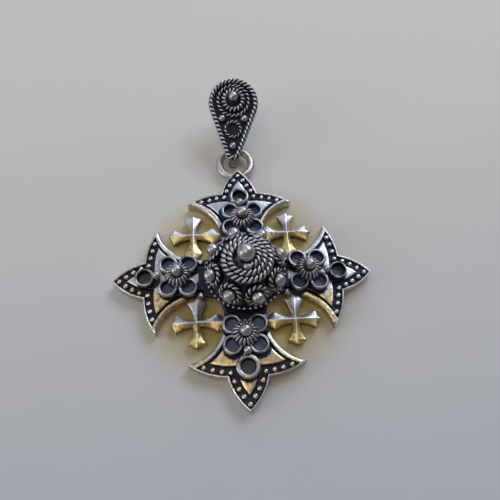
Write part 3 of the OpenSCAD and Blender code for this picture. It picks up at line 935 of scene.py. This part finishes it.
def hanging_loop():
    """The thick wire ring, open where it is soldered into the plate's tip."""
    dent, wire_sides, ring_sides = 0.006, 24, 96
    turn = 2 * np.pi * np.arange(wire_sides + 1) / wire_sides
    middle_r, wire_r = (LOOP_D - LOOP_WIRE) / 2, LOOP_WIRE / 2
    profile = list(zip(middle_r + wire_r * np.cos(turn), wire_r * np.sin(turn)))
    points, faces = lathe(profile, ring_sides, LOOP_START, LOOP_SWEEP)
    points *= (1 - dent + dent * waves(points, 1.5, 3))[:, None]
    # Inside of the ring: painted warm reflection in gold, and painted shade
    inner_reflection_and_shade = smooth(middle_r - np.hypot(points[:, 0], points[:, 1]), -0.1, 0.4 * LOOP_WIRE)
    return Shape().add(points + LOOP_AT, faces, 0.25 * inner_reflection_and_shade, 0.8 * inner_reflection_and_shade)


def turned_bail():
    """The bail stands a little aside and askew on the loop."""
    return moved(-BAIL_SHIFT, HINGE_Y) @ moved(turn=-BAIL_TURN) @ moved(y=-HINGE_Y)


def on_bail(shape, s=0.0, x=0.0, lift=0.0):
    """Places a shape on the teardrop: Y runs from its tip to its head, Z off its back."""
    tilt = Matrix.Rotation(BAIL_TILT, 4, "X")
    tip = turned_bail() @ moved(y=BAIL_TIP[0], z=BAIL_TIP[1])
    return shape.placed(tip @ tilt @ moved(x, s, lift))


def teardrop(inset, step):
    """Closed outline of the teardrop, counterclockwise, with as many points at any inset."""
    lean = math.asin((BAIL_W / 2 - BAIL_FOOT_R) / (BAIL_HEAD_S - BAIL_FOOT_R))
    arcs = []
    for r, s, start, end in (
        (BAIL_W / 2, BAIL_HEAD_S, -lean, math.pi + lean),
        (BAIL_FOOT_R, BAIL_FOOT_R, math.pi + lean, 2 * math.pi - lean),
    ):
        turns = np.linspace(start, end, int((end - start) * r / step) + 1)
        arcs.append(np.column_stack(((r - inset) * np.cos(turns), s + (r - inset) * np.sin(turns))))
    head_arc, foot_arc = arcs
    count = int((BAIL_HEAD_S - BAIL_FOOT_R) * math.cos(lean) / step)
    shares = np.linspace(0, 1, count)[1:-1, None]
    left = head_arc[-1] + (foot_arc[0] - head_arc[-1]) * shares
    right = foot_arc[-1] + (head_arc[0] - foot_arc[-1]) * shares
    return np.vstack((head_arc, left, foot_arc, right))


def bail_plate():
    """The teardrop sheet with rounded edges."""
    step, grid_step, margin = 0.3, 0.4, 0.3
    levels = ((0.12, 0.0), (0.02, 0.1), (0.0, 0.4), (0.0, 0.48), (0.1, SHEET_T))
    lines = [teardrop(inset, step) for inset, _ in levels]
    rows = [lifted(line, z) for line, (_, z) in zip(lines, levels)]
    shape = Shape().add(np.vstack(rows), grid_faces(len(rows), len(rows[0])), 0.2, 0.2)
    inner = grid_points(np.arange(-3.6, 3.7, grid_step), np.arange(grid_step, 13, grid_step))
    away = np.linalg.norm(inner[:, None] - teardrop(0, step)[None], axis=2).min(1)
    head_centre = np.array((0, BAIL_HEAD_S))
    head = np.linalg.norm(inner - head_centre, axis=1) < BAIL_W / 2 - margin
    up_the_side = (inner[:, 1] - BAIL_FOOT_R) / (BAIL_HEAD_S - BAIL_FOOT_R)
    width = BAIL_FOOT_R + (BAIL_W / 2 - BAIL_FOOT_R) * up_the_side
    below_head = (np.abs(inner[:, 0]) < width - margin) & (inner[:, 1] < BAIL_HEAD_S)
    inner = inner[(away > margin) & (head | below_head)]
    flat, faces = filled(lines[-1], inner)
    shape.add(lifted(flat, SHEET_T), faces, 1.0)
    flat, faces = filled(lines[0], inner)
    shape.add(lifted(flat, 0.0), flipped(faces), 0.1, 0.2)
    return shape.welded()


def strap():
    """The back strap: a rounded strip bent from the teardrop's tip round to its head."""
    along = np.array((math.cos(BAIL_TILT), math.sin(BAIL_TILT)))
    below = np.array((math.sin(BAIL_TILT), -math.cos(BAIL_TILT)))
    bend, head_bend = STRAP_BEND_R, STRAP_HEAD_BEND_R
    first_s = (STRAP_T + bend - BAIL_TIP[1] + bend * math.cos(BAIL_TILT)) / math.sin(BAIL_TILT)
    first = BAIL_TIP + first_s * along + bend * below
    second = np.array((STRAP_HEAD_BEND_Y, STRAP_T + head_bend))
    third = BAIL_TIP + STRAP_END_S * along + bend * below
    between = third - second
    lean = math.atan2(between[1], between[0]) - math.acos((head_bend - bend) / np.linalg.norm(between))
    up = math.pi / 2 + BAIL_TILT
    overlap, bend_steps, round_off = 0.1, 14, 0.13
    path, normals = [], []
    for centre, r, start, end in (
        (first, bend, up - overlap, 1.5 * math.pi),
        (second, head_bend, -0.5 * math.pi, lean),
        (third, bend, lean, up + overlap),
    ):
        for a in np.linspace(start, end, bend_steps):
            normals.append((math.cos(a), math.sin(a)))
            path.append(centre + (r + STRAP_T / 2) * np.array(normals[-1]))
    section = []
    for x, t, start in ((1, 1, 0), (-1, 1, 90), (-1, -1, 180), (1, -1, 270)):
        for a in np.radians((start, start + 45, start + 90)):
            across = x * (STRAP_W / 2 - round_off) + round_off * math.cos(a)
            section.append((across, t * (STRAP_T / 2 - round_off) + round_off * math.sin(a)))
    rows = []
    for (y, z), (ny, nz) in zip(path, normals):
        for across, out in section:
            rows.append((across, y + out * ny, z + out * nz))
    faces = flipped(grid_faces(len(path), len(section)))
    return Shape().add(rows, faces, 0.15, 0.2).placed(turned_bail())


def rim_rope():
    """Twisted wire round the teardrop's edge."""
    point_step = 0.11
    path = lifted(teardrop(BAIL_ROPE_D / 2, point_step), 0.0)
    return closed_rope(path, BAIL_ROPE_D, round(closed_length(path) / ROPE_LAY), gilt_and_reflection=0.15)


def coiled_ring():
    """A fine wire wound closely round a ring, and the raised floor inside it."""
    half_t, floor_r = COILED_RING_WIRE / 2, COILED_RING_D / 2 - 0.3
    count = COIL_TURNS * LAY_STEPS
    around = 2 * np.pi * np.arange(count) / count
    wound = COIL_TURNS * around
    swing = half_t - COIL_WIRE_R
    r = COILED_RING_D / 2 - half_t + swing * np.cos(wound)
    path = np.column_stack((r * np.cos(around), r * np.sin(around), half_t + swing * np.sin(wound)))
    points, faces = tube(path, (0, 0, 1), COIL_WIRE_R, closed=True)
    # The wound wire is darker low down, against the sheet: painted shade
    low = 1 - smooth(points[:, 2], 0.4 * COILED_RING_WIRE, 0.85 * COILED_RING_WIRE)
    shape = Shape().add(points, faces, low, 0.15)
    points, faces = lathe([(floor_r, 0.0), (floor_r, COIL_SEAT_H), (AXIS_R, COIL_SEAT_H)], 32)
    return shape.add(points, faces, 1.0)


# Stage


def add_light(name, direction, distance, size, power, colour):
    """A soft box in a direction from the pendant's middle."""
    data = bpy.data.lights.new(name, "AREA")
    data.shape = "RECTANGLE"
    data.size, data.size_y = size
    data.energy = power
    data.color = colour
    light = bpy.data.objects.new(name, data)
    way = Vector(direction).normalized()
    light.location = way * distance
    light.rotation_euler = way.to_track_quat("Z", "Y").to_euler()
    bpy.context.scene.collection.objects.link(light)


def add_world(colour):
    """Even light from the room."""
    world = bpy.data.worlds.new("room")
    world.use_nodes = True
    world.node_tree.nodes["Background"].inputs["Color"].default_value = (*colour, 1)
    bpy.context.scene.world = world


def add_camera():
    """The photograph's camera, fitted to the cross's outline."""
    back = Vector((-0.05079, -0.44032, 0.89641)).normalized()
    up = back.cross(Vector((0.99796, -0.05704, 0.02852))).normalized()
    right = up.cross(back)
    data = bpy.data.cameras.new("camera")
    data.lens = 33.946
    data.sensor_width = 36
    data.clip_start = 0.002
    camera = bpy.data.objects.new("camera", data)
    turn = Matrix((right, up, back)).transposed().to_4x4()
    camera.matrix_world = Matrix.Translation(Vector((-2.383, -26.999, 65.362)) * MM) @ turn
    bpy.context.scene.collection.objects.link(camera)
    bpy.context.scene.camera = camera


def add_floor():
    half = 0.6
    mesh = bpy.data.meshes.new("floor")
    corners = [(-half, -half, 0), (half, -half, 0), (half, half, 0), (-half, half, 0)]
    mesh.from_pydata(corners, [], [(0, 1, 2, 3)])
    mesh.materials.append(floor_material())
    floor = bpy.data.objects.new("floor", mesh)
    bpy.context.scene.collection.objects.link(floor)


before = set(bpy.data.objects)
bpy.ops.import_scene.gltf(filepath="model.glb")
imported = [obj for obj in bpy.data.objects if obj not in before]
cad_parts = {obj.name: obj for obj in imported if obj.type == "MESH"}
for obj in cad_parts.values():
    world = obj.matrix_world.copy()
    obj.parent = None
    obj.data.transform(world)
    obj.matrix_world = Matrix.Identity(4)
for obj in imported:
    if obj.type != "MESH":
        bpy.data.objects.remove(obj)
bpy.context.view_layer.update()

cast = metal("cast_silver", SILVER, PALE_GOLD, BLACK, rough=0.3, grain=0.5, pits=0.12)
# The crosslets' gold is gilding, and on their south slopes also a painted warm reflection
gilt_and_reflection = metal("worn_gilt", SILVER, GOLD, BROWN, rough=0.34, grain=0.5, pits=0.2)
polished = metal("polished_silver", BALL_SILVER, PALE_GOLD, BLACK, rough=0.33, grain=0.4)
wire = metal("aged_wire", WIRE_SILVER, PALE_GOLD, BLACK, rough=0.38, grain=0.3)
cup_metal = metal("blackened_cups", CUP_SILVER, PALE_GOLD, BLUE_BLACK, rough=0.3, grain=0.4)
ring_metal = metal("blackened_rings", CUP_SILVER, PALE_GOLD, GREY_BLACK, rough=0.3, grain=0.4)
bail_sheet = metal("blackened_bail", SHEET_SILVER, PALE_GOLD, BLACK, rough=0.4, grain=0.4)
# Its gold stands for a painted warm reflection inside the ring
loop_metal = metal("rubbed_loop", LOOP_SILVER, GOLD, BLACK, rough=0.42, grain=0.4)
blackened = metal("blackened_silver", DOME_SILVER, GOLD, BLACK, rough=0.4, grain=0.6)

add_piece("plate_relief", cross_plate(), cast, "cross", "cast_silver", "cross_plate")
for corner_name, (x, y) in CROSSLET_AT.items():
    node = f"crosslet_{corner_name}"
    north, east = np.sign(y), np.sign(x)
    shape = ended_on_plate(crosslet(north, east).placed(moved(x, y, CROSSLET_Z)), north, east)
    add_piece(f"gilt_{node}", shape, gilt_and_reflection, "cross", "worn_gilt", node)

for number, (arm_name, places) in enumerate(ARM_PLACES.items()):
    on_arm = moved(turn=90 * number - 90)
    flower_y, flower_x, ring_y, ring_d, bead_off = places
    on_flower = on_arm @ moved(flower_x, flower_y)
    bead_z = CUP_Z + TIP_RING_H + math.sqrt((TIP_BEAD_D / 2 + GAP) ** 2 - bead_off**2)
    ring = cup(ring_d, TIP_RING_BORE, TIP_RING_H, TIP_RING_LIP_H)
    bead = ball(TIP_BEAD_D / 2, dent=0.03)
    flower_ball = ball(FLOWER_BALL_D / 2, dent=0.03)
    bead_place = on_arm @ moved(y=ring_y - ring_d / 2 - bead_off, z=bead_z)
    for name, shape, material, slot, place in (
        ("cups", flower_cups(), cup_metal, "dark_silver", on_flower),
        ("rib_dome", rib_dome(), wire, "aged_silver", on_flower),
        ("flower_ball", flower_ball, polished, "polished_silver", on_flower @ moved(z=FLOWER_BALL_Z)),
        ("tip_bead", bead, polished, "polished_silver", bead_place),
        ("tip_ring", ring, ring_metal, "aged_silver", on_arm @ moved(y=ring_y, z=CUP_Z)),
    ):
        node = f"{name}_{arm_name}"
        add_piece(f"worn_{node}", shape.placed(place), material, "cross", slot, node)

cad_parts["dome"].data.materials.clear()
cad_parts["dome"].data.materials.append(blackened)
beads = beaded_wire().placed(on_dome())
add_piece("beads_round_dish", beads, polished, "cross", "aged_silver", "beaded_wire")
for number in range(1, PETALS + 1):
    loop = wire_ring(PETAL_LOOP_D, PETAL_WIRE_D, PETAL_LAYS).placed(on_petal(number, PETAL_WIRE_D / 2 + GAP))
    add_piece(f"twisted_petal_{number}", loop, wire, "cross", "aged_silver", f"petal_loop_{number}")
    bead = ball(PETAL_BALL_D / 2, dent=0.03).placed(on_petal(number, PETAL_BALL_D / 2 + GAP))
    add_piece(f"worn_petal_ball_{number}", bead, polished, "cross", "polished_silver", f"petal_ball_{number}")
add_piece("twisted_coil", rope_coil().placed(on_dome()), wire, "cross", "aged_silver", "rope_coil")
crown = ball(CROWN_BALL_D / 2, dent=0.02).placed(on_dome(CROWN_Z))
add_piece("worn_crown_ball", crown, polished, "cross", "polished_silver", "crown_ball")
add_piece("wire_loop", hanging_loop(), loop_metal, "cross", "polished_silver", "hanging_loop")

plate = on_bail(bail_plate()).join(strap())
add_piece("bail_sheet_and_strap", plate, bail_sheet, "bail", "dark_silver", "bail")
large_ring = wire_ring(LARGE_RING_D, LARGE_RING_WIRE, lays=11)
small_ring = wire_ring(SMALL_RING_D, SMALL_RING_WIRE, lays=6)
for name, shape, s, lift, node in (
    ("twisted_rim", rim_rope(), 0, BAIL_ROPE_D / 2, "bail_rope_rim"),
    ("twisted_ring_large", large_ring, LARGE_RING_S, LARGE_RING_WIRE / 2, "bail_ring_large"),
    ("twisted_ring_small", small_ring, SMALL_RING_S, SMALL_RING_WIRE / 2, "bail_ring_small"),
    ("coiled_ring", coiled_ring(), COILED_RING_S, 0, "bail_ring_coiled"),
):
    shape = on_bail(shape, s, 0, SHEET_T + GAP + lift)
    add_piece(name, shape, wire, "bail", "aged_silver", node)
pair_x, pair_s = PAIR_BEAD_AT
for name, d, x, s, seat_h in (
    ("bail_ball", BAIL_BALL_D, 0, BAIL_BALL_S, COIL_SEAT_H + GAP),
    ("bail_bead_left", PAIR_BEAD_D, -pair_x, pair_s, 0),
    ("bail_bead_right", PAIR_BEAD_D, pair_x, pair_s, 0),
    ("bail_bead_low", LOW_BEAD_D, 0, LOW_BEAD_S, 0),
):
    shape = on_bail(ball(d / 2, dent=0.03, seat=-0.8), s, x, SHEET_T + GAP + seat_h + d / 2)
    add_piece(f"worn_{name}", shape, polished, "bail", "polished_silver", name)

add_floor()
add_camera()
add_world((0.165, 0.165, 0.175))
for name, direction, distance, size, power, colour in (
    ("north_east_window", (0.4485, 0.5744, 0.684), 0.5, (0.3, 0.24), 1.25, (0.7, 0.84, 1.0)),
    ("west_window", (-0.93, -0.2, 0.35), 0.5, (0.3, 0.24), 0.75, (0.7, 0.85, 1.0)),
    ("north_window", (0.0, 0.95, 0.35), 0.6, (0.5, 0.12), 0.62, (0.68, 0.8, 1.0)),
    ("warm_ceiling", (-0.25, -0.1, 0.95), 0.6, (0.42, 0.34), 0.8, (1.0, 0.82, 0.5)),
    ("north_west_sky", (-0.45, 0.55, 0.7), 0.5, (0.35, 0.3), 0.25, (0.55, 0.68, 1.0)),
):
    add_light(name, direction, distance, size, power, colour)
bpy.context.scene.view_settings.view_transform = "Standard"
